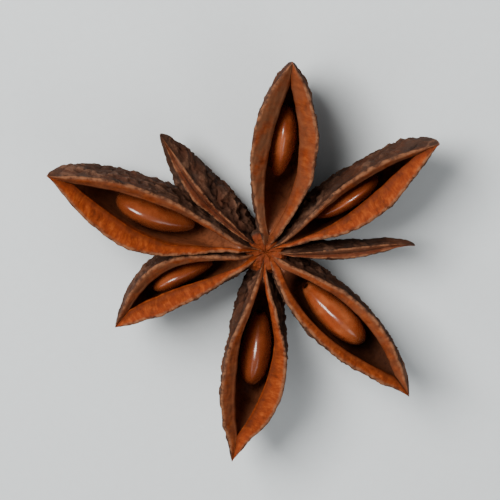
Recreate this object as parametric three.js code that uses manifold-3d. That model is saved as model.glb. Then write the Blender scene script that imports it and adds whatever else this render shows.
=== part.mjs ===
// A whole star anise fruit: eight boat-shaped carpels joined round a short column, lying on their keels with
// the mouths up. Six carpels have split open, each over a loose seed, and two stayed slim and shut.
// Millimetres, +Z up. The origin is on the column's axis, on the flat broken end of the stem, level with the
// lowest keels.
import * as THREE from "three";
import { mergeVertices } from "three/addons/utils/BufferGeometryUtils.js";
import Module from "manifold-3d";

const wasm = await Module();
wasm.setup();

// ---- Driving dimensions --------------------------------------------------------------------------------

// One entry for each carpel. bearing: direction round the column, in degrees. length: column axis to beak.
// gape: half the width across the rims at the widest place. belly: half the width of the body under them.
// keel: lowest height of the keel. crest: height of the rims at their widest place. tip: height of the beak.
// roll: lean of the mouth, in degrees. bend: sideways bow of the body. lip: width of the sloping lips inside
// the rims. shift: how far left the throat between the lips lies, as a share of their width. widest and bow:
// its own WIDEST_AT and RIM_BOW. seed: where along the carpel the middle of its seed lies, as a share of the
// length, its size, and how far left it lies.
const CARPELS = [
  {
    name: "east", bearing: 4, length: 11.5,
    gape: 0.38, belly: 0.65, keel: 2.4, crest: 6.2, tip: 5.7, roll: -10, bend: -0.75,
  },
  {
    name: "northeast", bearing: 35.7, length: 16.2,
    gape: 1.75, belly: 1.9, keel: -0.2, crest: 8.0, tip: 7.6, roll: -7, bend: -0.75, lip: 0.75, shift: 0.5,
    seed: { at: 0.45, long: 6.0, thick: 1.6, deep: 5.4, aside: 0.2 },
  },
  {
    name: "north", bearing: 82.7, length: 15.8, bow: 0.85,
    gape: 2.5, belly: 2.1, keel: -0.25, crest: 8.0, tip: 7.2, roll: -2, bend: -0.45, lip: 1.05, shift: 0,
    seed: { at: 0.54, long: 5.8, thick: 1.95, deep: 5.0, aside: 0.2 },
  },
  {
    name: "northwest", bearing: 130.5, length: 12.4,
    gape: 0.45, belly: 1.3, keel: 1.2, crest: 6.0, tip: 4.9, roll: -2, bend: 0.7,
  },
  {
    name: "west", bearing: 157, length: 18.0,
    gape: 2.4, belly: 2.1, keel: -0.25, crest: 8.3, tip: 7.9, roll: 3, bend: 0.75, lip: 0.8, shift: -0.25,
    seed: { at: 0.49, long: 6.6, thick: 2.3, deep: 5.2, aside: 0.1 },
  },
  {
    name: "southwest", bearing: 205.5, length: 12.8, bow: 0.95,
    gape: 1.85, belly: 1.95, keel: -0.1, crest: 7.5, tip: 6.6, roll: 8, bend: -0.8, lip: 0.75, shift: -0.25,
    seed: { at: 0.52, long: 5.2, thick: 1.7, deep: 5.0, aside: -0.05 },
  },
  {
    name: "south", bearing: 261, length: 16.6,
    gape: 2.45, belly: 2.1, keel: -0.25, crest: 7.8, tip: 7.0, roll: 0, bend: 0.6, lip: 0.85, shift: -0.15,
    seed: { at: 0.5, long: 5.8, thick: 2.4, deep: 4.8, aside: 0 },
  },
  {
    name: "southeast", bearing: 315.5, length: 15.5, widest: 0.5, bow: 1,
    gape: 2.2, belly: 2.1, keel: -0.25, crest: 8.1, tip: 7.5, roll: -11, bend: -0.4, lip: 0.5, shift: 0,
    seed: { at: 0.49, long: 6.3, thick: 2.4, deep: 5.0, aside: 0 },
  },
];

const COLUMN = { radius: 1.75, crown: 0.7, top: 5.7, shoulder: 0.5, dimple: 0.35 }; // crown: share of radius
const STEM = { radius: 1.25, neck: 0.95, neckAt: 1.0, height: 1.9 };

const ROOT_HEIGHT = 6.2; // of the rims near the column
const ROOT_DIP = { depth: 0.9, from: 0.4, to: 2.2 }; // how they sink where they meet, and how far out
const KEEL_ROOT = 2.3; // height of the keels at the column
const LOWEST_AT = 0.4; // share of the length where a keel is lowest
const KEEL_RISE = { blunt: 3.2, swept: 2.4 }; // powers of the two curves that its rise to the beak mixes
const WIDEST_AT = 0.57; // share of the length where the rims are furthest apart
const RIM_BOW = 1.15; // how drawn out the ends of a mouth are; below 1 they are blunt
const BELLY = { at: 0.5, bow: 0.8 }; // the same two for the body under the rims
const UPTURN = { lift: 0.35, from: 0.86 }; // of the beak's very end, and where along the length it starts
const ROLL_HEIGHT = 3.0; // height that the lean of a mouth turns about
const RIM_EDGE = 0.28; // width of the sharp outer edge of a rim
const LIP_SLOPE = 0.82; // fall of the lips for each millimetre of width
const LIP_FALL = 1.0; // most that they fall
const MOUTH = { from: 0.1, hollowTo: 0.88, to: 0.975 }; // of the split, as shares of a carpel's length
const HOLLOW = { deepBy: 0.28, widestAt: 0.48, deepTo: 0.85, outBy: 1.09 }; // shares of its own length
const POCKET = { foot: 0.72, footUp: 0.07, fullUp: 0.36 }; // its foot's width and corners' heights, as shares
const WALL = 0.5; // between the outside and the seed's hollow
const KEEL_WALL = 0.85; // under the hollow
const SEED_CLEARANCE = 0.45; // between a seed and the hollow's floor
const SEED_SLOPE = 0.12; // rise of a seed along the carpel
const SEED_TAPER = 0.16; // how much slimmer its end towards the column is, as a share
const SCAR_FLAT = 0.1; // how much the scar flattens that end, as a share
const SEAM = { from: 0.2, to: 0.95, depth: 0.5 }; // groove of a shut carpel, from and to as shares of it
const LUMP_HEIGHT = 0.13; // of the uneven outside of the walls
const PAST = { out: 0.1, up: 1.2, least: 0.01 }; // how far past the rims a mouth is cut, to leave no skin

const STATIONS = 15; // sections along a carpel
const SIDE_STEPS = 8; // steps from keel to rim
const SEED_ROUND = 12; // steps round a seed
const SEED_LONG = 10; // steps along a seed
const COLUMN_ROUND = 16; // steps round the column
const ROOM = 60; // side of the block of space above the floor

// ---- Profiles of one carpel, all by the share u of its length, 0 at the column and 1 at the beak --------

const lerp = THREE.MathUtils.lerp;
const smooth = THREE.MathUtils.smoothstep;

/** A hump that is 0 at both ends and 1 at peak; power below 1 makes it blunt, above 1 drawn out. */
function hump(u, peak, power) {
  const share = THREE.MathUtils.clamp(u, 0, 1) ** (Math.log(0.5) / Math.log(peak));
  return Math.sin(Math.PI * share) ** power;
}

/** Half the width across the rims. */
function rimHalf(carpel, u) {
  const { gape, widest = WIDEST_AT, bow = RIM_BOW } = carpel;
  return Math.max(0.05, gape * hump(u, widest, bow));
}

/** Half the width of the body, at its fullest height. */
function bellyHalf(carpel, u) {
  return Math.max(0.06, carpel.belly * hump(u, BELLY.at, BELLY.bow));
}

/** Height of the rims, arched from the column to the beak. */
function rimHeight(carpel, u) {
  const level = lerp(ROOT_HEIGHT, carpel.tip, u);
  const arch = carpel.crest - lerp(ROOT_HEIGHT, carpel.tip, WIDEST_AT);
  const dip = ROOT_DIP.depth * (1 - smooth(u * carpel.length, ROOT_DIP.from, ROOT_DIP.to));
  return level + arch * hump(u, WIDEST_AT, 1) + UPTURN.lift * smooth(u, UPTURN.from, 1) - dip;
}

/** Height of the keel: down from the column, along its lowest stretch, and up to the beak. */
function keelHeight(carpel, u) {
  if (u < LOWEST_AT) return lerp(carpel.keel, KEEL_ROOT, (1 - u / LOWEST_AT) ** 2);
  const rise = Math.min(1, (u - LOWEST_AT) / (1 - LOWEST_AT));
  const blunt = 1 - Math.sqrt(1 - rise ** KEEL_RISE.blunt);
  return lerp(carpel.keel, rimHeight(carpel, 1), 0.5 * blunt + 0.5 * rise ** KEEL_RISE.swept);
}

/** Low lumps of the outside, different on each carpel and side, and gone at the rims and the keel. */
function lump(carpel, u, rise, side) {
  const turn = carpel.bearing * 0.7 + side * 1.9;
  const waves = Math.sin(21 * u + 5 * rise + turn) + 0.7 * Math.sin(13 * u - 9 * rise + 2.3 * turn);
  return LUMP_HEIGHT * waves * Math.sin(Math.PI * rise) * hump(u, 0.55, 0.7);
}

/** Half the width of the body at a height, given as the share rise from keel to rim. */
function sideHalf(carpel, u, rise) {
  const belly = bellyHalf(carpel, u);
  if (rise <= 0.5) return belly * Math.sqrt(1 - (1 - rise / 0.5) ** 2);
  return lerp(belly, rimHalf(carpel, u), smooth(rise, 0.5, 1));
}

// ---- Shaping ------------------------------------------------------------------------------------------

/** Puts a point of a carpel's own section, u along, y across and z up, where it lies in the fruit. */
function place(carpel, u, y, z) {
  const roll = THREE.MathUtils.degToRad(carpel.roll) * hump(u, 0.6, 0.8);
  const height = z - ROLL_HEIGHT;
  const across = y * Math.cos(roll) - height * Math.sin(roll) + carpel.bend * hump(u, 0.55, 1.2);
  const up = ROLL_HEIGHT + y * Math.sin(roll) + height * Math.cos(roll);
  const point = new THREE.Vector3(carpel.length * u, across, up);
  return point.applyAxisAngle(new THREE.Vector3(0, 0, 1), THREE.MathUtils.degToRad(carpel.bearing));
}

/** A closed skin from a sphere's grid. pointAt takes the share from pole to pole and the step round. */
function skin(stepsRound, stepsAlong, pointAt) {
  const grid = new THREE.SphereGeometry(1, stepsRound, stepsAlong);
  const { position, uv } = grid.attributes;
  for (let i = 0; i < position.count; i++) {
    const point = pointAt(uv.getY(i), Math.round(uv.getX(i) * stepsRound) % stepsRound);
    position.setXYZ(i, point.x, point.y, point.z);
  }
  return grid;
}

/** The manifold-3d solid of a closed three.js geometry. */
function solid(geometry) {
  const bare = geometry.clone();
  bare.deleteAttribute("normal");
  bare.deleteAttribute("uv");
  const merged = mergeVertices(bare, 1e-4);
  const vertProperties = merged.attributes.position.array;
  const triVerts = new Uint32Array(merged.index.array);
  return new wasm.Manifold(new wasm.Mesh({ numProp: 3, vertProperties, triVerts }));
}

/** Whether a share along a skin is at one of its poles. */
function atPole(along) {
  return along < 1e-6 || along > 1 - 1e-6;
}

/** The outside of a carpel, filled. Its sections run from the keel up one side, over, and down the other. */
function body(carpel) {
  const round = 2 * SIDE_STEPS + 2;
  return skin(round, STATIONS, (u, step) => {
    const low = keelHeight(carpel, u);
    const high = rimHeight(carpel, u);
    if (atPole(u)) return place(carpel, u, 0, (low + high) / 2);
    const side = step > round / 2 ? -1 : 1;
    const climb = side < 0 ? round - step : step;
    if (climb > SIDE_STEPS) return place(carpel, u, 0, high);
    const rise = climb / SIDE_STEPS;
    const half = sideHalf(carpel, u, rise) + lump(carpel, u, rise, side);
    return place(carpel, u, side * half, lerp(low, high, rise ** 1.15));
  });
}

/**
 * What a split takes out: a pocket for the seed, a throat, two sloping lips, and the air above them. The
 * pocket ends short of the beak, and there the lips meet in a groove.
 */
function mouth(carpel) {
  const round = 11; // the outline's six corners on each side, which share the first
  return skin(round, STATIONS, (along, step) => {
    const u = lerp(MOUTH.from, MOUTH.to, along);
    const high = rimHeight(carpel, u);
    if (atPole(along)) return place(carpel, u, 0, high + PAST.up / 2);
    const share = (u - MOUTH.from) / (MOUTH.hollowTo - MOUTH.from);
    const deep = smooth(share, -0.02, HOLLOW.deepBy) * (1 - smooth(share, HOLLOW.deepTo, HOLLOW.outBy));
    const rim = rimHalf(carpel, u);
    const crest = rim - Math.min(RIM_EDGE, 0.45 * rim);
    const widest = carpel.gape - RIM_EDGE - carpel.lip;
    const throat = Math.min(0.75 * crest, Math.max(0.03, widest * hump(share, HOLLOW.widestAt, 0.9)));
    const shift = carpel.shift * (crest - throat);
    const lipFoot = high - Math.min(LIP_FALL, LIP_SLOPE * (crest - throat));
    const body = Math.max(throat, bellyHalf(carpel, u) - WALL);
    const pocket = lerp(throat, body, smooth(deep, 0.05, 0.7));
    const floor = lerp(lipFoot - 0.1, keelHeight(carpel, u) + KEEL_WALL, deep);
    const outline = [
      [0, floor, 0],
      [POCKET.foot * pocket, lerp(floor, lipFoot, POCKET.footUp), 0],
      [pocket, lerp(floor, lipFoot, POCKET.fullUp), 0],
      [throat, lipFoot, shift],
      [crest, high + PAST.least, 0],
      [crest + PAST.out, high + PAST.up, 0],
    ];
    const side = step > outline.length - 1 ? -1 : 1;
    const [half, z, aside] = outline[side < 0 ? round - step : step];
    return place(carpel, u, side * half + aside, z);
  });
}

/** The shallow groove along the top of a carpel that stayed shut. */
function seam(carpel) {
  return skin(4, STATIONS, (along, step) => {
    const u = lerp(SEAM.from, SEAM.to, along);
    const high = rimHeight(carpel, u);
    if (atPole(along)) return place(carpel, u, 0, high + SEAM.depth);
    const half = 0.5 * rimHalf(carpel, u);
    const corners = [[0, high - SEAM.depth], [half, high], [0, high + SEAM.depth], [-half, high]];
    return place(carpel, u, ...corners[step]);
  });
}

/** A seed: a flattened egg standing on edge, its narrow end with the scar towards the column. */
function seed(carpel) {
  const { at, long, thick, deep, aside } = carpel.seed;
  const middle = keelHeight(carpel, at) + KEEL_WALL + SEED_CLEARANCE + deep / 2;
  return skin(SEED_ROUND, SEED_LONG, (along, step) => {
    const turn = along * Math.PI;
    const round = (step / SEED_ROUND) * 2 * Math.PI;
    const girth = Math.sin(turn) * (1 - SEED_TAPER * Math.cos(turn));
    const scar = 1 - SCAR_FLAT * smooth(Math.cos(turn), 0.8, 1);
    const x = -Math.cos(turn) * (long / 2) * scar;
    const y = aside + Math.sin(round) * girth * (thick / 2);
    const z = middle - Math.cos(round) * girth * (deep / 2) + SEED_SLOPE * x;
    return place(carpel, at + x / carpel.length, y, z);
  });
}

/** The short column between the carpels, with a dimpled top, and the broken stem under it. */
function core() {
  const outline = [
    [0, 0],
    [STEM.radius, 0],
    [STEM.radius, STEM.neckAt / 2],
    [STEM.neck, STEM.neckAt],
    [STEM.neck, STEM.height],
    [COLUMN.radius, STEM.height + COLUMN.shoulder],
    [COLUMN.radius, COLUMN.top - COLUMN.shoulder],
    [COLUMN.radius * COLUMN.crown, COLUMN.top],
    [0, COLUMN.top - COLUMN.dimple],
  ];
  const profile = outline.map(([radius, z]) => new THREE.Vector2(radius, z));
  return new THREE.LatheGeometry(profile, COLUMN_ROUND).rotateX(Math.PI / 2);
}

// ---- The fruit -----------------------------------------------------------------------------------------

/** A three.js geometry with flat faces from a manifold-3d solid. */
function geometryOf(made) {
  const { vertProperties, triVerts } = made.getMesh();
  const indexed = new THREE.BufferGeometry();
  indexed.setAttribute("position", new THREE.BufferAttribute(vertProperties, 3));
  indexed.setIndex(new THREE.BufferAttribute(triVerts, 1));
  const flat = indexed.toNonIndexed();
  flat.computeVertexNormals();
  return flat;
}

/** The eight carpels and the column as one solid, trimmed level where the keels meet the floor. */
function pod() {
  let made = solid(core());
  for (const carpel of CARPELS) made = made.add(solid(body(carpel)));
  for (const carpel of CARPELS) made = made.subtract(solid(carpel.seed ? mouth(carpel) : seam(carpel)));
  const room = new THREE.BoxGeometry(ROOM, ROOM, ROOM).translate(0, 0, ROOM / 2);
  return made.intersect(solid(room));
}

/** A named mesh of one solid. */
function piece(name, made, material) {
  const mesh = new THREE.Mesh(geometryOf(made), material);
  mesh.name = name;
  return mesh;
}

const bark = new THREE.MeshStandardMaterial({ color: "#7a452a", roughness: 0.75, metalness: 0 });
const gloss = new THREE.MeshStandardMaterial({ color: "#a3551f", roughness: 0.25, metalness: 0 });

const fruit = new THREE.Group();
fruit.add(piece("pod", pod(), bark));
for (const carpel of CARPELS.filter((one) => one.seed)) {
  fruit.add(piece("seed_" + carpel.name, solid(seed(carpel)), gloss));
}

export default fruit;
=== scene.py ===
"""A whole star anise fruit, lying on its keels on a plain pale floor with its mouths up.

Eight boat-shaped carpels are joined round a short column. Six have split open, each over a glossy seed, and
two stayed slim and shut. The forms are worked out in millimetres and placed in the frame's metres.
"""

import logging
import math
from dataclasses import dataclass
from enum import Enum
from itertools import product
from typing import Optional, Union

import bmesh
import bpy
import numpy as np
from mathutils import Matrix, Vector

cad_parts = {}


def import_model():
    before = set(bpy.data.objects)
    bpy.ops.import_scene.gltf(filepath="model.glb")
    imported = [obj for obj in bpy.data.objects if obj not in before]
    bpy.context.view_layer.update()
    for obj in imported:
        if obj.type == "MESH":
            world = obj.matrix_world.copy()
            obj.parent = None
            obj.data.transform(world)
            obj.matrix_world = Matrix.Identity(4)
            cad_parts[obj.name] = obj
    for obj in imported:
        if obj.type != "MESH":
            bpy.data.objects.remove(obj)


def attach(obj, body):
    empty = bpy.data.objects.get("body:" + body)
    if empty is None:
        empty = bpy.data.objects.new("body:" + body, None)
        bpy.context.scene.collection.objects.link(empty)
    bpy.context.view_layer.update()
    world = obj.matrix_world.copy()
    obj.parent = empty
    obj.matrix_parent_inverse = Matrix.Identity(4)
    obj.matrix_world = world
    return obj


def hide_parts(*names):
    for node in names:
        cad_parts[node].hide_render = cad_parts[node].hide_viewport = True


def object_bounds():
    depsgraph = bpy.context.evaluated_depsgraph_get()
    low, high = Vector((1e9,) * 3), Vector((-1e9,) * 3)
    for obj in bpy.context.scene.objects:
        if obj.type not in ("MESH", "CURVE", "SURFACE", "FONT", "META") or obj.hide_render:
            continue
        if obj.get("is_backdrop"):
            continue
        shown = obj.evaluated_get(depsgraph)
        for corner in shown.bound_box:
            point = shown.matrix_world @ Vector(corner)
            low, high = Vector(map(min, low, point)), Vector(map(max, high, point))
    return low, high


LOG = logging.getLogger("star_anise")
MM = 0.001

Array = np.ndarray
Number = Union[float, "Value"]
Paint = Union["Tint", str]
Colour = tuple[float, float, float]


# ---- Plain maths, on numbers or arrays -------------------------------------------------------------------


def lerp(low: Array, high: Array, share: Array) -> Array:
    """The value at a share of the way from low to high."""
    return low + (high - low) * share


def smooth(value: Array, low: float, high: float) -> Array:
    """A smooth step, 0 at low and 1 at high; low may be the larger."""
    share = np.clip((value - low) / (high - low), 0.0, 1.0)
    return share * share * (3 - 2 * share)


def band(value: Array, start: float, whole: float, fading: float, end: float) -> Array:
    """A smooth band: 0 up to its start, 1 between whole and fading, and 0 again from its end."""
    return smooth(value, start, whole) * smooth(value, end, fading)


def hump(share: Array, peak: float, power: float) -> Array:
    """A hump that is 0 at both ends and 1 at its peak.

    Args:
        share: Where along the hump, 0 to 1.
        peak: The share at which it is highest.
        power: Below 1 makes it blunt, above 1 drawn out.

    Returns:
        The height, 0 to 1.
    """
    warped = np.clip(share, 0.0, 1.0) ** (math.log(0.5) / math.log(peak))
    return np.maximum(0.0, np.sin(math.pi * warped)) ** power


def bell(value: Array, middle: float, width: float) -> Array:
    """A bell curve, 1 at its middle."""
    return np.exp(-(((value - middle) / width) ** 2))


def srgb(code: str) -> Colour:
    """A hexadecimal screen colour as linear light.

    Args:
        code: Six hexadecimal digits, such as "7a452a".

    Returns:
        Red, green and blue, 0 to 1.
    """
    parts = [int(code[i : i + 2], 16) / 255 for i in (0, 2, 4)]
    linear = [c / 12.92 if c <= 0.04045 else ((c + 0.055) / 1.055) ** 2.4 for c in parts]
    return (linear[0], linear[1], linear[2])


class Grain:
    """Smooth noise in space, the same at the same place on every run."""

    SIZE = 256

    def __init__(self, seed: int) -> None:
        """Draws the slopes of the noise.

        Args:
            seed: The number that they follow from.
        """
        draw = np.random.default_rng(seed)
        self.order = np.tile(draw.permutation(self.SIZE), 2)
        slopes = draw.normal(size=(self.SIZE, 3))
        self.slopes = slopes / np.linalg.norm(slopes, axis=1, keepdims=True)

    def at(self, places: Array) -> Array:
        """The noise at some places.

        Args:
            places: One row of three coordinates for each place.

        Returns:
            A number for each place, about -0.6 to 0.6.
        """
        cell = np.floor(places).astype(int)
        local = places - cell
        fade = local**3 * (local * (local * 6 - 15) + 10)
        total = np.zeros(len(places))
        for corner in product((0, 1), repeat=3):
            x, y, z = ((cell + corner) % self.SIZE).T
            slope = self.slopes[self.order[self.order[self.order[x] + y] + z]]
            weight = np.prod(np.where(corner, fade, 1 - fade), axis=1)
            total += weight * np.sum(slope * (local - corner), axis=1)
        return total

    def layered(self, places: Array, layers: int, fall: float) -> Array:
        """Noise with finer layers added, each twice as fine and weaker by fall."""
        return sum(self.at(places * 2**i + 17.3 * i) * fall**i for i in range(layers))

    def ridges(self, places: Array, width: float) -> Array:
        """Thin crests, 1 along lines and 0 away from them; width is about their share of the surface."""
        return np.clip(1 - np.abs(self.at(places)) / width, 0.0, 1.0)


# ---- Shader maths ----------------------------------------------------------------------------------------


class Value:
    """A socket that carries a number, with Python's arithmetic. Each operation adds one Math node."""

    def __init__(self, shader: "Shader", socket: bpy.types.NodeSocket) -> None:
        """Wraps a socket of a shader."""
        self.shader = shader
        self.socket = socket

    def _math(self, operation: str, first: Number, second: Number = 0.0) -> "Value":
        """Adds a Math node of two numbers and returns its result."""
        made = self.shader.node("ShaderNodeMath", {"operation": operation}, {0: first, 1: second})
        return Value(self.shader, made.outputs[0])

    def __add__(self, other: Number) -> "Value":
        """Sum."""
        return self._math("ADD", self, other)

    def __radd__(self, other: Number) -> "Value":
        """Sum, with a plain number first."""
        return self._math("ADD", other, self)

    def __sub__(self, other: Number) -> "Value":
        """Difference."""
        return self._math("SUBTRACT", self, other)

    def __rsub__(self, other: Number) -> "Value":
        """Difference, from a plain number."""
        return self._math("SUBTRACT", other, self)

    def __mul__(self, other: Number) -> "Value":
        """Product."""
        return self._math("MULTIPLY", self, other)

    def __rmul__(self, other: Number) -> "Value":
        """Product, with a plain number first."""
        return self._math("MULTIPLY", other, self)

    def step(self, low: float, high: float) -> "Value":
        """A smooth step of the number, 0 at low and 1 at high; low may be the larger."""
        made = self.shader.node(
            "ShaderNodeMapRange",
            {"interpolation_type": "SMOOTHSTEP"},
            {"Value": self, "From Min": low, "From Max": high},
        )
        return Value(self.shader, made.outputs["Result"])


class Tint:
    """A socket that carries a colour. It mixes with other colours, never through a Math node."""

    def __init__(self, shader: "Shader", socket: bpy.types.NodeSocket) -> None:
        """Wraps a socket of a shader."""
        self.shader = shader
        self.socket = socket

    def toward(self, other: Paint, share: Number) -> "Tint":
        """This colour mixed with another.

        Args:
            other: The other colour, or its hexadecimal code.
            share: How much of the other shows, 0 to 1.

        Returns:
            The mixed colour.
        """
        return self.shader.mix(self, other, share)


class Shader:
    """A material under construction: its node tree, and short ways to add to it."""

    def __init__(self, name: str) -> None:
        """Makes an empty material.

        Args:
            name: The material's name.
        """
        self.material = bpy.data.materials.new(name)
        self.material.use_nodes = True
        self.tree = self.material.node_tree
        self.tree.nodes.clear()

    def node(self, kind: str, settings: dict, inputs: dict) -> bpy.types.Node:
        """Adds one node.

        Args:
            kind: The node's type.
            settings: Its settings, such as a Math node's operation, set first.
            inputs: Values or links of its sockets, by name or index.

        Returns:
            The node.
        """
        made = self.tree.nodes.new(kind)
        for key, setting in settings.items():
            setattr(made, key, setting)
        for key, content in inputs.items():
            socket = made.inputs[key]
            if isinstance(content, (Value, Tint)):
                self.tree.links.new(content.socket, socket)
            elif isinstance(content, bpy.types.NodeSocket):
                self.tree.links.new(content, socket)
            elif isinstance(content, str):
                socket.default_value = (*srgb(content), 1.0)
            else:
                socket.default_value = content
        return made

    def mix(self, first: Paint, second: Paint, share: Number) -> Tint:
        """Mixes two colours.

        Args:
            first: The colour at share 0, or its hexadecimal code.
            second: The colour at share 1, or its hexadecimal code.
            share: How much of the second shows.

        Returns:
            The mixed colour.
        """
        made = self.node(
            "ShaderNodeMix",
            {"data_type": "RGBA", "blend_type": "MIX", "clamp_factor": True},
            {"Factor": share, 6: first, 7: second},
        )
        return Tint(self, made.outputs[2])

    def attribute(self, name: str) -> Value:
        """A number that the mesh carries at each vertex."""
        made = self.node("ShaderNodeAttribute", {"attribute_name": name}, {})
        return Value(self, made.outputs["Fac"])

    def millimetres(self) -> bpy.types.NodeSocket:
        """Object coordinates in millimetres.

        Returns:
            The coordinates' socket.
        """
        place = self.node("ShaderNodeTexCoord", {}, {}).outputs["Object"]
        made = self.node("ShaderNodeMapping", {}, {"Vector": place, "Scale": (1 / MM,) * 3})
        return made.outputs["Vector"]

    def together(self, x: Number, y: Number) -> bpy.types.NodeSocket:
        """Two numbers as coordinates."""
        made = self.node("ShaderNodeCombineXYZ", {}, {"X": x, "Y": y})
        return made.outputs["Vector"]

    def cloud(self, where: bpy.types.NodeSocket, per_mm: float, detail: float, rough: float = 0.5) -> Value:
        """A noise texture.

        Args:
            where: The coordinates, in millimetres.
            per_mm: How many blotches lie in a millimetre.
            detail: How many finer layers it has.
            rough: How strong those are.

        Returns:
            A number about 0.5.
        """
        made = self.node(
            "ShaderNodeTexNoise",
            {},
            {"Vector": where, "Scale": per_mm, "Detail": detail, "Roughness": rough},
        )
        return Value(self, made.outputs["Fac"])

    def bump(self, height: Value, depth_mm: float, strength: float) -> bpy.types.NodeSocket:
        """A bumped normal.

        Args:
            height: The height, 0 to 1.
            depth_mm: What a height of 1 measures.
            strength: How strongly it shows.

        Returns:
            The normal's socket.
        """
        made = self.node(
            "ShaderNodeBump", {}, {"Height": height, "Distance": depth_mm * MM, "Strength": strength}
        )
        return made.outputs["Normal"]

    def surface(self, inputs: dict) -> bpy.types.Material:
        """Ends the tree in a Principled surface.

        Args:
            inputs: Values or links of its sockets.

        Returns:
            The finished material.
        """
        principled = self.node("ShaderNodeBsdfPrincipled", {}, inputs)
        self.node("ShaderNodeOutputMaterial", {}, {"Surface": principled.outputs["BSDF"]})
        return self.material


# ---- Finishes --------------------------------------------------------------------------------------------


@dataclass(frozen=True)
class PericarpFinish:
    """The dried fruit wall: wrinkled bark outside, tan ragged rims, and satin lips and hollows inside."""

    # Painted shade: the dark laid into the bark's folds and into the far end of the hollows.
    painted_shade: str = "140a07"
    bark: str = "3c261c"
    bark_red: str = "47291c"
    bark_grey: str = "3b2d26"
    ridge: str = "6f4e3c"
    # Pale tan of the rims' edges: partly their own woody colour, partly a painted highlight.
    rim: str = "7e5238"
    # Partly the lips' own fading, partly painted shade on the lips that face away from the key light.
    tan: str = "5f3b27"
    lip: str = "712d10"
    lip_light: str = "8e4218"
    lip_dark: str = "471d0d"
    hollow: str = "8a4c2e"
    # Painted shade at the floor of the hollows.
    hollow_shade: str = "6a402c"
    bark_rough: float = 0.82
    lip_rough: float = 0.66
    specular: float = 0.06
    hollow_coat: float = 0.5
    coat_rough: float = 0.38
    bump_mm: float = 0.13
    bump_strength: float = 0.6

    def material(self) -> bpy.types.Material:
        """Makes the material, which reads the carpels' vertex attributes.

        Returns:
            The material.
        """
        shader = Shader("pericarp")
        where = shader.millimetres()
        inner = shader.attribute("inner")
        grain = shader.cloud(where, 2.2, 6.0, 0.62)
        speck = shader.cloud(where, 6.5, 4.0, 0.6)
        fibre = self._fibre(shader, where)
        bark = self._bark(shader, where, grain, speck)
        flesh = self._flesh(shader, where, grain, fibre)
        # Pale tan along the rims' edges: partly their own woody colour, partly a painted highlight.
        edge = shader.attribute("rim") * grain.step(0.38, 0.62)
        height = (grain * 0.6 + speck * 0.4) * (1 - inner) + (fibre * 0.5 + speck * 0.15) * inner
        satin = self.lip_rough - shader.attribute("depth").step(0.0, 0.2) * 0.22 + (grain - 0.5) * 0.4
        return shader.surface(
            {
                "Base Color": bark.toward(flesh, inner).toward(self.rim, edge * 0.85),
                "Roughness": (self.bark_rough + (speck - 0.5) * 0.25) * (1 - inner) + satin * inner,
                "Normal": shader.bump(height, self.bump_mm, self.bump_strength),
                "Specular IOR Level": self.specular,
                "Coat Weight": shader.attribute("depth").step(0.05, 0.3) * self.hollow_coat,
                "Coat Roughness": self.coat_rough,
            }
        )

    def _fibre(self, shader: Shader, where: bpy.types.NodeSocket) -> Value:
        """Fine streaks that run unevenly across the lips and round the hollow.

        Args:
            shader: The material under construction.
            where: The coordinates, in millimetres.

        Returns:
            The streaks, 0 to 1.
        """
        drift = shader.cloud(where, 0.8, 2.0)
        reach, girth = shader.attribute("reach") + drift * 0.9, shader.attribute("girth")
        coarse = shader.cloud(shader.together(reach * 2.6, girth * 7.0), 1.0, 5.0, 0.65)
        fine = shader.cloud(shader.together(reach * 9.0, girth * 14.0), 1.0, 3.0, 0.6)
        return coarse * 0.7 + fine * 0.3

    def _bark(self, shader: Shader, where: bpy.types.NodeSocket, grain: Value, speck: Value) -> Tint:
        """The colour of the wrinkled outside: painted shade in its folds, and paler on its ridges.

        Args:
            shader: The material under construction.
            where: The coordinates, in millimetres.
            grain: Noise about half a millimetre wide.
            speck: Finer noise.

        Returns:
            The colour.
        """
        relief = shader.attribute("relief")
        skin = shader.mix(self.bark, self.bark_red, shader.cloud(where, 0.32, 3.0).step(0.42, 0.62))
        skin = skin.toward(self.bark_grey, shader.cloud(where, 0.6, 4.0).step(0.5, 0.68) * 0.75)
        # Painted shade: darker in the folds of the bark.
        folded = skin.toward(self.painted_shade, (relief + (grain - 0.5) * 0.5).step(0.46, 0.16) * 0.9)
        return folded.toward(self.ridge, (relief + (speck - 0.5) * 0.7).step(0.58, 0.95) * 0.65)

    def _flesh(self, shader: Shader, where: bpy.types.NodeSocket, grain: Value, fibre: Value) -> Tint:
        """The colour of the lips and the hollow: orange-brown, painted darker down into the hollow as
        shade.

        Args:
            shader: The material under construction.
            where: The coordinates, in millimetres.
            grain: Noise about half a millimetre wide.
            fibre: The streaks.

        Returns:
            The colour.
        """
        depth = shader.attribute("depth")
        lips = shader.mix(self.lip, self.lip_light, (fibre * 0.7 + grain * 0.3).step(0.46, 0.62))
        lips = lips.toward(self.lip_dark, shader.cloud(where, 0.7, 5.0, 0.6).step(0.5, 0.7) * 0.75)
        lips = lips.toward(self.lip_dark, (fibre + (grain - 0.5) * 0.4).step(0.46, 0.34) * 0.6)
        # Painted shade: the lips darken towards their foot, where they fall into the hollow.
        lips = lips.toward(self.lip_dark, shader.attribute("sill").step(0.3, 1.0) * 0.7)
        # Tan: partly the lips' own fading, partly painted shade on the lips that face away from the key
        # light.
        tan_mask = shader.attribute("fade_and_shade") * (shader.cloud(where, 0.9, 4.0) * 0.6 + fibre * 0.4).step(0.3, 0.6)
        lips = lips.toward(self.tan, tan_mask)
        wall = lips.toward(self.hollow, (depth + (grain - 0.5) * 0.25).step(0.0, 0.22))
        # Painted shade: darker towards the hollow's floor.
        wall = wall.toward(self.hollow_shade, (depth + (grain - 0.5) * 0.3).step(0.4, 1.0) * 0.85)
        mottled = (fibre * 0.5 + grain * 0.5).step(0.48, 0.62) * depth.step(0.1, 0.3)
        wall = wall.toward(self.lip_dark, mottled * 0.6)
        # Painted shade: the far end of the hollow goes dark.
        return wall.toward(self.painted_shade, shader.attribute("end_shade") * depth.step(0.0, 0.15))


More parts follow.
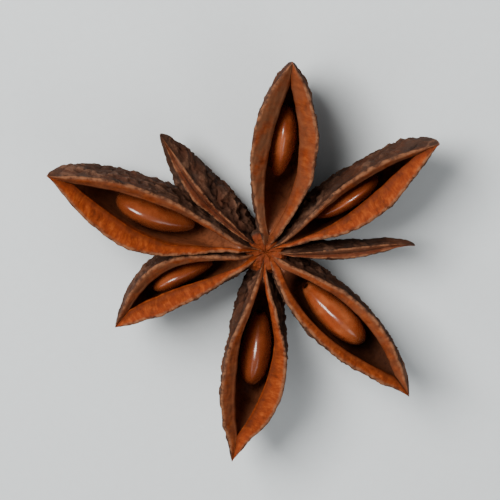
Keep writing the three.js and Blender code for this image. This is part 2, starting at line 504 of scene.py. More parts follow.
@dataclass(frozen=True)
class SeedFinish:
    """The hard glossy coat of a seed, russet to amber, darker at the scar and along the edge."""

    russet: str = "73351b"
    amber: str = "9a4724"
    light: str = "b8643a"
    dark: str = "5a2812"
    scar: str = "2e150a"
    roughness: float = 0.27
    coat: float = 0.4
    coat_rough: float = 0.15
    bump_mm: float = 0.03
    bump_strength: float = 0.3

    def material(self) -> bpy.types.Material:
        """Makes the material, which reads the seeds' vertex attributes.

        Returns:
            The material.
        """
        shader = Shader("seed_coat")
        where = shader.millimetres()
        pale = shader.attribute("pale")
        fine = shader.cloud(where, 4.0, 5.0, 0.6)
        patches = shader.cloud(where, 0.55, 4.0, 0.6).step(0.42, 0.66)
        # Lighter coat with pale: partly each seed's own tone, partly painted light where a seed catches the
        # most light.
        colour = shader.mix(self.russet, self.amber, pale).toward(self.light, patches * (0.15 + pale * 0.7))
        colour = colour.toward(self.dark, fine.step(0.5, 0.75) * 0.45)
        colour = colour.toward(self.dark, shader.attribute("edge").step(0.25, 1.0) * 0.5)
        return shader.surface(
            {
                "Base Color": colour.toward(self.scar, shader.attribute("scar")),
                "Roughness": self.roughness + (fine - 0.5) * 0.2,
                "Normal": shader.bump(fine, self.bump_mm, self.bump_strength),
                "Coat Weight": self.coat,
                "Coat Roughness": self.coat_rough,
            }
        )


@dataclass(frozen=True)
class FloorFinish:
    """A plain pale matt sheet."""

    sheet: str = "d6dbdd"
    shade: str = "d1d6d8"
    roughness: float = 0.85
    specular: float = 0.2

    def material(self) -> bpy.types.Material:
        """Makes the material, with the faintest tooth.

        Returns:
            The material.
        """
        shader = Shader("floor_sheet")
        tooth = shader.cloud(shader.millimetres(), 1.5, 3.0)
        colour = shader.mix(self.sheet, self.shade, tooth)
        return shader.surface(
            {"Base Color": colour, "Roughness": self.roughness, "Specular IOR Level": self.specular}
        )


# ---- Skins -----------------------------------------------------------------------------------------------


class Skin:
    """A closed skin on a sphere's grid, its poles at the two ends of a piece.

    Attributes:
        share: How far along the piece each vertex lies, 0 to 1.
        turn: How far round it lies, 0 to 1.
        places: Its place in millimetres.
    """

    def __init__(self, name: str, around: int, along: int) -> None:
        """Makes the grid.

        Args:
            name: The piece's name.
            around: Steps round the piece.
            along: Steps from end to end.
        """
        bm = bmesh.new()
        bmesh.ops.create_grid(bm, x_segments=around, y_segments=along, size=1.0)
        for vert in bm.verts:
            turn, rise = vert.co.x * math.pi, vert.co.y * math.pi / 2
            vert.co = (math.cos(turn) * math.cos(rise), math.sin(turn) * math.cos(rise), math.sin(rise))
        bmesh.ops.remove_doubles(bm, verts=bm.verts, dist=1e-5)
        bmesh.ops.recalc_face_normals(bm, faces=bm.faces)
        self.mesh = bpy.data.meshes.new(name)
        bm.to_mesh(self.mesh)
        bm.free()
        flat = np.empty(len(self.mesh.vertices) * 3)
        self.mesh.vertices.foreach_get("co", flat)
        x, y, z = flat.reshape(-1, 3).T
        self.share = np.round((1 - np.arccos(np.clip(z, -1, 1)) / math.pi) * along) / along
        self.turn = np.round(np.arctan2(y, x) / math.tau % 1.0 * around) / around % 1.0
        self.places = np.zeros((len(x), 3))

    def move(self, x: Array, y: Array, z: Array) -> None:
        """Puts the vertices at places in millimetres.

        Args:
            x: How far east each lies.
            y: How far north.
            z: How high.
        """
        self.places = np.stack([x, y, z], axis=1)
        self.mesh.vertices.foreach_set("co", self.places.ravel())
        self.mesh.update()

    def swell(self, heights: Array) -> None:
        """Moves the vertices outwards, but never under the floor.

        Args:
            heights: How far each moves, in millimetres.
        """
        normals = np.empty(len(self.mesh.vertices) * 3)
        self.mesh.vertex_normals.foreach_get("vector", normals)
        x, y, z = (self.places + normals.reshape(-1, 3) * heights[:, None]).T
        self.move(x, y, np.maximum(0.0, z))

    def mark(self, name: str, values: Array) -> None:
        """Gives the mesh a number for each vertex, for its finish to read."""
        layer = self.mesh.attributes.new(name, "FLOAT", "POINT")
        layer.data.foreach_set("value", values.astype(np.float32))

    def piece(self, material: bpy.types.Material, node: str) -> bpy.types.Object:
        """Finishes the skin as a piece of the fruit, in metres, with its object at the origin.

        Args:
            material: Its finish.
            node: The CAD node that it stands for.

        Returns:
            The piece, riding on the fruit's body.
        """
        self.mesh.transform(Matrix.Scale(MM, 4))
        self.mesh.shade_smooth()
        self.mesh.materials.append(material)
        made = bpy.data.objects.new(self.mesh.name, self.mesh)
        bpy.context.scene.collection.objects.link(made)
        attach(made, "root")
        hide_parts(node)
        LOG.info("%s: %d faces", made.name, len(self.mesh.polygons))
        return made


# ---- Pieces ----------------------------------------------------------------------------------------------


class Zone(Enum):
    """The stretches of half a carpel's section, from the keel outside to the floor of the hollow."""

    WALL = (0.0, 0.5)
    RIM = (0.5, 0.54)
    LIP = (0.54, 0.66)
    HOLLOW = (0.66, 1.0)

    def share(self, girth: Array) -> Array:
        """How far along this stretch a place of the section is, 0 to 1."""
        low, high = self.value
        return np.clip((girth - low) / (high - low), 0.0, 1.0)

    def holds(self, girth: Array) -> Array:
        """Whether a place of the section lies on this stretch."""
        low, high = self.value
        return (girth >= low) & (girth < high)


@dataclass(frozen=True)
class SeedSize:
    """A seed's place and size.

    Attributes:
        at: Where its middle lies along the carpel, as a share of the length.
        long: Its length, in millimetres.
        thick: Its thickness, across the carpel.
        deep: Its height.
        aside: How far left of the carpel's middle plane it lies.
        pale: How light its coat is, 0 to 1: partly the seed's own tone, partly painted light.
    """

    at: float
    long: float
    thick: float
    deep: float
    aside: float = 0.0
    pale: float = 0.5


@dataclass(frozen=True)
class Sections:
    """The sizes of sections across a carpel, in millimetres, one of each for each vertex.

    Attributes:
        low: Height of the keel.
        high: Height of the rims.
        belly: Half the width of the body.
        rim: Half the width across the rims.
        crest: Half the width inside the rims' sharp edges, where the lips start.
        throat: Half the width between the lips at their foot.
        drop: How far that foot lies under the rims.
        pocket: Half the width of the hollow.
        floor: Height of its floor.
    """

    low: Array
    high: Array
    belly: Array
    rim: Array
    crest: Array
    throat: Array
    drop: Array
    pocket: Array
    floor: Array


@dataclass
class Carpel:
    """One boat-shaped carpel of the fruit.

    Attributes:
        name: The compass point that it lies towards.
        bearing: Its direction round the column, in degrees.
        length: From the column's axis to the beak.
        gape: Half the width across the rims at the widest place.
        belly: Half the width of the body under the rims.
        keel: Lowest height of the keel.
        crest: Height of the rims at their widest place.
        tip: Height of the beak.
        roll: Lean of the mouth, in degrees.
        bend: Sideways bow of the body.
        lip: Width of the sloping lips inside the rims.
        shift: How far left the throat between the lips lies, as a share of their width.
        fade_and_shade: How far the lips are painted tan, 0 to 1: partly their own fading, partly painted
            shade.
        end_shade: How much painted shade darkens the far end of the hollow, 0 to 1.
        widest: Share of the length where the rims are furthest apart.
        bow: How drawn out the ends of the mouth are; below 1 they are blunt.
        seed: Its seed; a carpel that stayed shut shows none.
    """

    name: str
    bearing: float
    length: float
    gape: float
    belly: float
    keel: float
    crest: float
    tip: float
    roll: float
    bend: float
    lip: float = 0.85
    shift: float = 0.0
    fade_and_shade: float = 0.1
    end_shade: float = 0.0
    widest: float = 0.57
    bow: float = 1.15
    seed: Optional[SeedSize] = None

    ROOT_HEIGHT = 6.2  # of the rims near the column
    ROOT_DIP = 0.9  # how far they sink where they meet at its axis
    DIP_REACH = (2.2, 0.4)  # how far from the axis they start to sink, and have sunk
    KEEL_ROOT = 2.3  # height of the keels at the column
    LOWEST_AT = 0.4  # share of the length where a keel is lowest
    KEEL_RISE = (3.2, 2.4)  # powers of the two curves that its rise to the beak mixes
    HIGHEST_AT = 0.57  # share of the length where the rims are highest
    BELLY = (0.5, 0.8)  # share of the length where the body is fullest, and how blunt it ends
    UPTURN = 0.35  # lift of the beak's very end
    UPTURN_FROM = 0.86  # share of the length where that starts
    ROLL_HEIGHT = 3.0  # height that the lean of a mouth turns about
    ROLLED = (0.6, 0.8)  # share of the length where it leans most, and how abruptly that ends
    BENT = (0.55, 1.2)  # the same of its sideways bow
    FULLNESS = 1.15  # power by which the flanks and the lips curve
    RIM_ROUND = 0.05  # rise of a rim's rounded top
    RIM_EDGE = 0.28  # width of the sharp outer edge of a rim
    RIM_SHARE = 0.45  # most of its half width that this takes
    SILL = (0.86, 0.12)  # where across the lips a low swelling runs, and half its width
    SILL_RISE = 0.07  # its height, as a share of their fall
    LIP_SLOPE = 0.82  # fall of the lips for each millimetre of width
    LIP_FALL = 1.0  # most that they fall
    WALL = 0.5  # between the outside and the hollow
    KEEL_WALL = 0.85  # under the hollow
    MOUTH = (0.1, 0.88)  # of the hollow, as shares of the length
    THROAT = (0.48, 0.9)  # share of the mouth where the throat is widest, and how blunt it ends
    THROAT_SHARE = 0.75  # most of the half width inside the rims that it takes
    HOLLOWED = (-0.02, 0.28, 0.85, 1.09)  # shares of the mouth at the ends of the hollow's two slopes
    POCKET_UP = 0.4  # share of its height at which the hollow is at its widest
    POCKET_SIDE = 0.6  # share of the hollow's outline above its round bottom
    SHADE_BEARING = 120  # bearing of the side of a carpel whose lip is painted most tan: painted shade, as that lip faces away from the key light
    SHADE_EXTRA = 0.8  # how much more tan, as painted shade, than the others
    LUMPS = 0.22  # height of the bark's broad lumps
    NET = 0.17  # of the net of ridges over them
    FOLDS = 0.1  # of the finer folds between those
    CREASES = 0.13  # depth of the thin creases
    PITS = 0.075  # height of the finest roughness
    TEARS = (0.38, 1.6, 4.1)  # how many tears of three sizes lie in a millimetre of rim
    TEARS_ACROSS = (0.2, 0.07)  # how far the first two push the rim sideways
    TEARS_UP = (0.42, 0.1, 0.05)  # how far all three push it up or down
    TORN = (0.32, 0.5, 0.6, 0.72)  # where the tears show, going round a half section
    TORN_WIDTH = 0.8  # half width across the rims at which they have their full size
    PALE_RIM = (0.485, 0.505, 0.52, 0.545)  # where the rim's edge is painted pale tan: its own woody colour and a painted highlight
    INSIDE = (0.505, 0.54)  # where bark gives way to the inner skin
    SHUT_INNER = 0.35  # how far that skin shows in the seam of a shut carpel
    COLLAR = (0.4, 0.49)  # where the bark smooths out under the rims
    COLLAR_SMOOTH = 0.75  # and how far
    FULL_BELLY = 1.1  # half width of the body at which the folds have their full height
    SILK = 0.05  # height of the low waves of the inner skin
    END_SHADED = (0.58, 0.72)  # where along the length the painted shade at the hollow's far end deepens
    AROUND = 300
    ALONG = 150

    @property
    def grain(self) -> Grain:
        """The carpel's own roughness, so that no two are alike."""
        return Grain(1000 + int(self.bearing))

    @property
    def shut(self) -> bool:
        """Whether the carpel stayed shut."""
        return self.seed is None

    def belly_half(self, share: Array) -> Array:
        """Half the width of the body at its fullest height."""
        return np.maximum(0.06, self.belly * hump(share, *self.BELLY))

    def rim_half(self, share: Array) -> Array:
        """Half the width across the rims."""
        return np.maximum(0.05, self.gape * hump(share, self.widest, self.bow))

    def rim_height(self, share: Array) -> Array:
        """Height of the rims, arched from the column to the beak.

        Args:
            share: How far along the carpel, 0 to 1.

        Returns:
            The heights, in millimetres.
        """
        level = lerp(self.ROOT_HEIGHT, self.tip, share)
        arch = self.crest - lerp(self.ROOT_HEIGHT, self.tip, self.HIGHEST_AT)
        dip = self.ROOT_DIP * smooth(share * self.length, *self.DIP_REACH)
        upturn = self.UPTURN * smooth(share, self.UPTURN_FROM, 1)
        return level + arch * hump(share, self.HIGHEST_AT, 1) + upturn - dip

    def keel_height(self, share: Array) -> Array:
        """Height of the keel: down from the column, along its lowest stretch, and up to the beak.

        Args:
            share: How far along the carpel, 0 to 1.

        Returns:
            The heights, in millimetres.
        """
        fall = np.clip(1 - share / self.LOWEST_AT, 0, 1) ** 2
        rise = np.clip((share - self.LOWEST_AT) / (1 - self.LOWEST_AT), 0, 1)
        blunt, swept = self.KEEL_RISE
        climb = 0.5 * (1 - np.sqrt(1 - rise**blunt)) + 0.5 * rise**swept
        beak = self.rim_height(1.0)
        return self.keel + (self.KEEL_ROOT - self.keel) * fall + (beak - self.keel) * climb

    def sections(self, share: Array) -> Sections:
        """Works out the sizes of sections across the carpel.

        Args:
            share: How far along the carpel they lie, 0 to 1.

        Returns:
            The sizes.
        """
        low, high = self.keel_height(share), self.rim_height(share)
        belly, rim = self.belly_half(share), self.rim_half(share)
        crest = rim - np.minimum(self.RIM_EDGE, self.RIM_SHARE * rim)
        first, last = self.MOUTH
        mouth = (share - first) / (last - first)
        widest = max(0.0, self.gape - self.RIM_EDGE - self.lip)
        throat = np.maximum(0.02, widest * hump(mouth, *self.THROAT))
        throat = np.minimum(self.THROAT_SHARE * crest, throat)
        drop = np.minimum(self.LIP_FALL, self.LIP_SLOPE * (crest - throat))
        deep = (0.0 if self.shut else 1.0) * band(mouth, *self.HOLLOWED)
        pocket = lerp(throat, np.maximum(throat, belly - self.WALL), smooth(deep, 0.05, 0.7))
        floor = lerp(high - drop - 0.1, low + self.KEEL_WALL, deep)
        return Sections(low, high, belly, rim, crest, throat, drop, pocket, floor)

    def outline(self, cut: Sections, girth: Array) -> tuple[Array, Array]:
        """Points of half sections.

        Args:
            cut: The sections' sizes.
            girth: How far round the half section, 0 at the keel outside and 1 at the floor of the hollow.

        Returns:
            The distances from the middle plane, and the heights.
        """
        wall, rim, lip, hollow = (zone.share(girth) for zone in Zone)
        under = wall < 0.5
        rise = np.where(under, 0.5 * (1 - np.cos(wall * math.pi)), wall)
        flank = np.where(
            under, cut.belly * np.sin(wall * math.pi), lerp(cut.belly, cut.rim, smooth(rise, 0.5, 1))
        )
        foot = cut.high - cut.drop
        sill = self.SILL_RISE * bell(lip, *self.SILL) * cut.drop
        above = hollow < self.POCKET_SIDE
        bottom = np.clip((hollow - self.POCKET_SIDE) / (1 - self.POCKET_SIDE), 0, 1) * math.pi / 2
        up = np.where(
            above,
            lerp(1.0, self.POCKET_UP, hollow / self.POCKET_SIDE),
            self.POCKET_UP * (1 - np.sin(bottom)),
        )
        pinched = lerp(cut.pocket, cut.throat, smooth(up, self.POCKET_UP, 1))
        side = np.where(above, pinched, cut.pocket * np.cos(bottom))
        zones = [zone.holds(girth) for zone in Zone]
        halves = [flank, lerp(cut.rim, cut.crest, rim), lerp(cut.crest, cut.throat, lip), side]
        heights = [
            lerp(cut.low, cut.high, rise**self.FULLNESS),
            cut.high + self.RIM_ROUND * np.sin(math.pi * rim),
            lerp(cut.high, foot, lip**self.FULLNESS) + sill,
            lerp(cut.floor, foot, up),
        ]
        return np.select(zones, halves, 0.0), np.select(zones, heights, cut.floor)

    def lean(self, cut: Sections, girth: Array) -> Array:
        """How far left of the middle plane the throat's shift moves points of the lips and the hollow."""
        weight = Zone.LIP.share(girth) * (1 - smooth(Zone.HOLLOW.share(girth), 0.0, 0.6))
        return self.shift * (cut.crest - cut.throat) * weight

    def place(self, share: Array, across: Array, height: Array) -> tuple[Array, Array, Array]:
        """Puts points of the carpel's own section where they lie in the fruit, in millimetres.

        Args:
            share: How far along the carpel.
            across: Distance from its middle plane, positive to the left of its direction.
            height: Height above the floor before the lean.

        Returns:
            The points' three coordinates.
        """
        roll = math.radians(self.roll) * hump(share, *self.ROLLED)
        over = height - self.ROLL_HEIGHT
        x = self.length * share
        y = across * np.cos(roll) - over * np.sin(roll) + self.bend * hump(share, *self.BENT)
        z = self.ROLL_HEIGHT + across * np.sin(roll) + over * np.cos(roll)
        cos, sin = math.cos(math.radians(self.bearing)), math.sin(math.radians(self.bearing))
        return x * cos - y * sin, x * sin + y * cos, z

    def fade_and_shade_at(self, side: Array) -> Array:
        """How tan the lips are painted on the left, side 1, and on the right, side -1: fading and painted
        shade.
        """
        away = math.radians(self.bearing + 90 - self.SHADE_BEARING)
        return np.clip(self.fade_and_shade + self.SHADE_EXTRA * side * math.cos(away), 0, 1)

    def wrinkles(self, local: Array) -> Array:
        """Height of the bark's folds. The three scales of a layer are along, across and up the carpel.

        Args:
            local: Places in the carpel's own frame, in millimetres.

        Returns:
            The heights there, in millimetres.
        """
        grain = self.grain
        warp = np.stack([grain.at(local * 0.3 + k * 31.7) for k in range(3)], axis=1) * 1.6
        relief = self.LUMPS * grain.at(local * 0.4)
        relief = relief + self.NET * grain.ridges(local * (0.62, 0.5, 0.36) + warp, 0.34) ** 1.4
        relief = relief + self.FOLDS * grain.ridges(local * (1.15, 0.9, 0.7) + 1.4 * warp + 50, 0.3) ** 1.2
        relief = relief - self.CREASES * grain.ridges(local * (0.85, 0.7, 0.6) - warp + 90, 0.09)
        return relief + self.PITS * grain.layered(local * 2.3, 3, 0.6)

    def build(self, material: bpy.types.Material) -> bpy.types.Object:
        """Makes the carpel: one closed skin, outside and in, with its folds and torn rims.

        Args:
            material: Its finish.

        Returns:
            The piece.
        """
        skin = Skin("carpel_" + self.name, self.AROUND, self.ALONG)
        share, side = skin.share, np.where(skin.turn <= 0.5, 1.0, -1.0)
        girth = np.where(skin.turn <= 0.5, 2 * skin.turn, 2 * (1 - skin.turn))
        cut = self.sections(share)
        half, height = self.outline(cut, girth)
        ends = (share == 0) | (share == 1)
        half, height = np.where(ends, 0.0, half), np.where(ends, (cut.low + cut.high) / 2, height)
        aside, up = self.tears(share, side, girth)
        across = side * (half + aside) + self.lean(cut, girth)
        height = height + up
        local = np.stack([share * self.length, across, height], axis=1)
        skin.move(*self.place(share, across, height))
        folds = self.wrinkles(local)
        inner = smooth(girth, *self.INSIDE)
        thin = np.clip(cut.belly / self.FULL_BELLY, 0, 1)
        collar = 1 - self.COLLAR_SMOOTH * smooth(girth, *self.COLLAR)
        silk = self.SILK * self.grain.at(local * (1.2, 3.0, 3.0)) * np.clip(cut.crest, 0, 1)
        skin.swell(folds * thin * collar * (1 - inner) + silk * inner)
        self.mark(skin, girth, side, folds)
        return skin.piece(material, "pod")

    def tears(self, share: Array, side: Array, girth: Array) -> tuple[Array, Array]:
        """How far the tears of the rims stand aside and up, in millimetres.

        Args:
            share: How far along the carpel.
            side: 1 on the left and -1 on the right.
            girth: How far round the half section.

        Returns:
            The two distances.
        """
        reach = share * self.length
        edge = np.stack([reach, 7.3 * side, np.zeros_like(reach)], axis=1)
        tears = [self.grain.at(edge * (rate, 1, 1) + rate) for rate in self.TEARS]
        near = band(girth, *self.TORN) * np.clip(self.rim_half(share) / self.TORN_WIDTH, 0, 1)
        aside = sum(push * tear for push, tear in zip(self.TEARS_ACROSS, tears))
        up = sum(push * tear for push, tear in zip(self.TEARS_UP, tears))
        return near * aside, near * up

    def mark(self, skin: Skin, girth: Array, side: Array, folds: Array) -> None:
        """Gives the skin the numbers that its finish reads.

        Args:
            skin: The carpel's skin.
            girth: How far round the half section each vertex lies.
            side: 1 on the left and -1 on the right.
            folds: Height of the bark's folds there.
        """
        skin.mark("inner", smooth(girth, *self.INSIDE) * (self.SHUT_INNER if self.shut else 1.0))
        skin.mark("rim", band(girth, *self.PALE_RIM))
        # How far down the lips towards their foot, which the finish darkens as painted shade.
        skin.mark("sill", Zone.LIP.share(girth) * (girth < Zone.LIP.value[1]))
        # How tan the lips are painted: partly fading, partly painted shade.
        skin.mark("fade_and_shade", self.fade_and_shade_at(side))
        # Painted shade at the hollow's far end.
        skin.mark("end_shade", self.end_shade * smooth(skin.share, *self.END_SHADED))
        skin.mark("depth", Zone.HOLLOW.share(girth))
        skin.mark("relief", np.clip(0.4 + folds * 1.7, 0, 1))
        skin.mark("reach", skin.share * self.length + self.bearing)
        skin.mark("girth", girth * side)


@dataclass
class Kernel:
    """The seed of one carpel: a flattened egg standing on edge, its scar towards the column."""

    carpel: Carpel
    size: SeedSize

    CLEARANCE = 0.45  # between the seed and the hollow's floor
    SLOPE = 0.12  # rise of the seed along the carpel
    TAPER = 0.16  # how much slimmer its end towards the column is, as a share
    SEAM = 0.02  # how far the ridge along its edges stands out, as a share
    SCAR_FLAT = 0.25  # how much the scar flattens the slim end
    SCAR = (0.11, 0.05)  # where along the length the scar darkens
    DENTS = (0.09, 0.02)  # height of the coat's broad and fine unevenness
    AROUND = 120
    ALONG = 90

    def build(self, material: bpy.types.Material) -> bpy.types.Object:
        """Makes the seed.

        Args:
            material: Its finish.

        Returns:
            The piece.
        """
        size, carpel = self.size, self.carpel
        skin = Skin("kernel_" + carpel.name, self.AROUND, self.ALONG)
        middle = carpel.keel_height(size.at) + carpel.KEEL_WALL + self.CLEARANCE + size.deep / 2
        angle, around = skin.share * math.pi, skin.turn * math.tau
        girth = np.sin(angle) * (1 - self.TAPER * np.cos(angle))
        upright = np.abs(np.cos(around))
        ridge = 1 + self.SEAM * upright**12
        x = -np.cos(angle) * (size.long / 2 - self.SCAR_FLAT * bell(skin.share, 0, 0.07))
        y = size.aside + np.sin(around) * girth * size.thick / 2
        z = middle - np.cos(around) * girth * ridge * size.deep / 2 + self.SLOPE * x
        skin.move(*carpel.place(size.at + x / carpel.length, y, z))
        broad, fine = self.DENTS
        skin.swell(broad * carpel.grain.at(skin.places * 0.55) + fine * carpel.grain.at(skin.places * 1.9))
        scar = smooth(skin.share, *self.SCAR)
        skin.mark("scar", scar)
        skin.mark("edge", upright**8 * (1 - scar))
        skin.mark("pale", np.full_like(scar, size.pale))
        return skin.piece(material, "seed_" + carpel.name)


@dataclass
class Column:
    """The short column that the carpels are joined round, with the broken stem under it.

    Attributes:
        bearings: The carpels' directions round it, in degrees.
        radius: Of the column.
        top: Height of its upper edge.
        shoulder: Height of its sloping shoulders.
        dimple: Depth of the dip in its top.
        stem_radius: Of the stem's broken end.
        stem_neck: Radius of the stem's neck above it.
        stem_height: Height at which the column's lower shoulder starts.
        neck_at: Height at which the neck starts.
        crown: Share of the radius at which the top's edge lies.
    """

    bearings: list[float]
    radius: float = 1.75
    top: float = 5.7
    shoulder: float = 0.5
    dimple: float = 0.35
    stem_radius: float = 1.25
    stem_neck: float = 0.95
    stem_height: float = 1.9
    neck_at: float = 1.0
    crown: float = 0.7

    CAP = (0.5, 0.3)  # how far under the top its orange skin starts, and is whole
    CAP_INNER = 0.7  # how far that skin is like the lips
    GROOVE_DEPTH = 0.12  # of the lines in which the carpels meet on the top
    GROOVE_HALF = 9  # half their width, in degrees
    LUMPS = 0.2  # height of its broad lumps
    PITS = 0.13  # height of its fine roughness
    AROUND = 200
    ALONG = 180

    def profile(self) -> Array:
        """Rows of radius and height, from the middle of the stem's end to the middle of the top."""
        return np.array(
            [
                (0.0, 0.0),
                (self.stem_radius, 0.0),
                (self.stem_radius, self.neck_at / 2),
                (self.stem_neck, self.neck_at),
                (self.stem_neck, self.stem_height),
                (self.radius, self.stem_height + self.shoulder),
                (self.radius, self.top - self.shoulder),
                (self.radius * self.crown, self.top),
                (0.0, self.top - self.dimple),
            ]
        )

    def build(self, material: bpy.types.Material) -> bpy.types.Object:
        """Makes the column.

        Args:
            material: Its finish.

        Returns:
            The piece.
        """
        skin = Skin("column", self.AROUND, self.ALONG)
        corners = self.profile()
        spans = np.linalg.norm(np.diff(corners, axis=0), axis=1)
        stops = np.concatenate([[0.0], np.cumsum(spans)]) / spans.sum()
        radius, height = (np.interp(skin.share, stops, corners[:, k]) for k in (0, 1))
        around = skin.turn * math.tau
        skin.move(radius * np.cos(around), radius * np.sin(around), height)
        grain = Grain(7)
        aways = [(skin.turn * 360 - bearing + 180) % 360 - 180 for bearing in self.bearings]
        gaps = np.prod([1 - bell(away, 0, self.GROOVE_HALF) for away in aways], axis=0)
        start, whole = self.CAP
        cap = smooth(height, self.top - start, self.top - whole)
        rough = self.LUMPS * grain.at(skin.places) + self.PITS * grain.layered(skin.places * 2.6, 3, 0.6)
        skin.swell((rough - self.GROOVE_DEPTH * cap * (1 - gaps)) * smooth(height, 0.0, 0.3))
        skin.mark("relief", np.clip(0.5 + rough * 2.2, 0, 1))
        skin.mark("inner", self.CAP_INNER * cap)
        skin.mark("reach", skin.places[:, 2])
        return skin.piece(material, "pod")


CARPELS = [
    Carpel(
        name="east", bearing=4, length=11.5,
        gape=0.38, belly=0.65, keel=2.4, crest=6.2, tip=5.7, roll=-10, bend=-0.75,
    ),
    Carpel(
        name="northeast", bearing=35.7, length=16.2,
        gape=1.75, belly=1.9, keel=-0.2, crest=8.0, tip=7.6, roll=-7, bend=-0.75, lip=0.75, shift=0.5,
        seed=SeedSize(at=0.45, long=6.0, thick=1.6, deep=5.4, aside=0.2, pale=0.45),
    ),
    Carpel(
        name="north", bearing=82.7, length=15.8, bow=0.85, fade_and_shade=1.0,
        gape=2.5, belly=2.1, keel=-0.25, crest=8.0, tip=7.2, roll=-2, bend=-0.45, lip=1.05,
        seed=SeedSize(at=0.54, long=5.8, thick=1.95, deep=5.0, aside=0.2, pale=0.8),
    ),
    Carpel(
        name="northwest", bearing=130.5, length=12.4,
        gape=0.45, belly=1.3, keel=1.2, crest=6.0, tip=4.9, roll=-2, bend=0.7,
    ),
    Carpel(
        name="west", bearing=157, length=18.0,
        gape=2.4, belly=2.1, keel=-0.25, crest=8.3, tip=7.9, roll=3, bend=0.75, lip=0.8, shift=-0.25,
        seed=SeedSize(at=0.49, long=6.6, thick=2.3, deep=5.2, aside=0.1, pale=0.1),
    ),
    Carpel(
        name="southwest", bearing=205.5, length=12.8, bow=0.95,
        gape=1.85, belly=1.95, keel=-0.1, crest=7.5, tip=6.6, roll=8, bend=-0.8, lip=0.75, shift=-0.25,
        seed=SeedSize(at=0.52, long=5.2, thick=1.7, deep=5.0, aside=-0.05, pale=0.15),
    ),
    Carpel(
        name="south", bearing=261, length=16.6,
        gape=2.45, belly=2.1, keel=-0.25, crest=7.8, tip=7.0, roll=0, bend=0.6, lip=0.85, shift=-0.15,
        seed=SeedSize(at=0.5, long=5.8, thick=2.4, deep=4.8, pale=0.1),
    ),
    Carpel(
        name="southeast", bearing=315.5, length=15.5, widest=0.5, bow=1, fade_and_shade=0.4, end_shade=0.75,
        gape=2.2, belly=2.1, keel=-0.25, crest=8.1, tip=7.5, roll=-11, bend=-0.4, lip=0.5,
        seed=SeedSize(at=0.49, long=6.3, thick=2.4, deep=5.0, pale=1.0),
    ),
]


# ---- Studio ----------------------------------------------------------------------------------------------


@dataclass(frozen=True)
class Softbox:
    """A square area light aimed at the fruit.

    Attributes:
        name: Its name.
        bearing: Its direction from the fruit, in degrees.
        elevation: Its height above the floor, in degrees.
        distance: From the fruit, in metres.
        side: Its width, in metres.
        watts: Its power.
        tone: Its colour.
    """

    name: str
    bearing: float
    elevation: float
    distance: float
    side: float
    watts: float
    tone: Colour = (1.0, 1.0, 1.0)

    def build(self, target: Vector) -> bpy.types.Object:
        """Makes the light.

        Args:
            target: The place that it is aimed at.

        Returns:
            The light's object.
        """
        light = bpy.data.lights.new(self.name, "AREA")
        light.energy, light.size, light.color = self.watts, self.side, self.tone
        made = bpy.data.objects.new(self.name, light)
        bearing, elevation = math.radians(self.bearing), math.radians(self.elevation)
        level = math.cos(elevation)
        away = Vector((math.cos(bearing) * level, math.sin(bearing) * level, math.sin(elevation)))
        made.location = target + away * self.distance
        made.rotation_euler = (-away).to_track_quat("-Z", "Y").to_euler()
        bpy.context.scene.collection.objects.link(made)
        return made


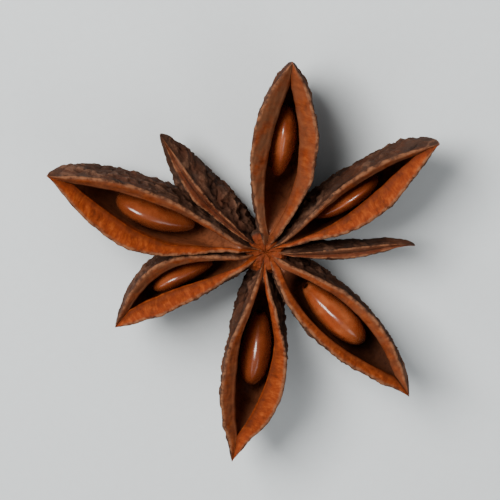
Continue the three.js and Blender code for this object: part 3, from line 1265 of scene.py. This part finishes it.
@dataclass
class Studio:
    """The floor, the lights and the camera.

    Attributes:
        target: What the camera and the lights aim at.
        elevation: Height of the camera above the floor, in degrees.
        distance: From the target to the camera, in metres.
        width: What the picture shows across at that distance, in metres.
        floor_side: Width of the floor, in metres.
        world: Colour of the room's light.
        world_strength: Its strength.
    """

    target: Vector
    elevation: float = 72.0
    distance: float = 0.32
    width: float = 0.0385
    floor_side: float = 2.4
    world: Colour = (0.80, 0.82, 0.83)
    world_strength: float = 0.27

    OFF_CENTRE = (0.52, 0.22, 0.0)  # from the middle of the fruit's box to the target, in millimetres
    FLOOR_GAP = 0.02  # between the floor and the keels, in millimetres
    SOFTBOXES = (
        Softbox("key", 132, 53, 0.34, side=0.16, watts=2.1, tone=(1.0, 0.985, 0.96)),
        Softbox("fill", -40, 40, 0.45, side=0.35, watts=0.65),
        Softbox("side", 200, 30, 0.45, side=0.3, watts=0.5),
    )

    def floor(self, material: bpy.types.Material) -> bpy.types.Object:
        """Makes the sheet that the fruit rests on.

        Args:
            material: Its finish.

        Returns:
            The sheet.
        """
        bm = bmesh.new()
        bmesh.ops.create_grid(bm, x_segments=4, y_segments=4, size=self.floor_side / 2)
        bmesh.ops.translate(bm, vec=(0, 0, -self.FLOOR_GAP * MM), verts=bm.verts)
        mesh = bpy.data.meshes.new("floor")
        bm.to_mesh(mesh)
        bm.free()
        mesh.materials.append(material)
        made = bpy.data.objects.new("floor", mesh)
        bpy.context.scene.collection.objects.link(made)
        made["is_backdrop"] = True
        return made

    def lights(self) -> None:
        """Makes the softboxes and the light of the room."""
        for box in self.SOFTBOXES:
            box.build(self.target)
        world = bpy.data.worlds.new("room")
        world.use_nodes = True
        background = world.node_tree.nodes["Background"]
        background.inputs["Color"].default_value = (*self.world, 1.0)
        background.inputs["Strength"].default_value = self.world_strength
        bpy.context.scene.world = world

    def camera(self) -> bpy.types.Object:
        """Makes the camera, looking down from the north with north at the top of its picture.

        Returns:
            The camera's object.
        """
        data = bpy.data.cameras.new("camera")
        data.sensor_width = 36.0
        data.lens = data.sensor_width * self.distance / self.width
        data.clip_start, data.clip_end = 0.01, 10.0
        made = bpy.data.objects.new("camera", data)
        tilt = math.radians(self.elevation)
        back = Vector((0, math.cos(tilt), math.sin(tilt)))
        up = Vector((0, math.sin(tilt), -math.cos(tilt)))
        turned = Matrix((up.cross(back), up, back)).transposed().to_4x4()
        made.matrix_world = Matrix.Translation(self.target + back * self.distance) @ turned
        bpy.context.scene.collection.objects.link(made)
        bpy.context.scene.camera = made
        return made


def main() -> None:
    """Builds the fruit and its studio."""
    logging.basicConfig(level=logging.INFO, format="%(message)s")
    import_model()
    cad_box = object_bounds()
    pericarp = PericarpFinish().material()
    coat = SeedFinish().material()
    for carpel in CARPELS:
        carpel.build(pericarp)
        if carpel.seed:
            Kernel(carpel, carpel.seed).build(coat)
    Column([carpel.bearing for carpel in CARPELS]).build(pericarp)
    middle = (cad_box[0] + cad_box[1]) / 2
    studio = Studio(target=middle + Vector(Studio.OFF_CENTRE) * MM)
    studio.floor(FloorFinish().material())
    studio.lights()
    studio.camera()


if __name__ == "__main__":
    main()
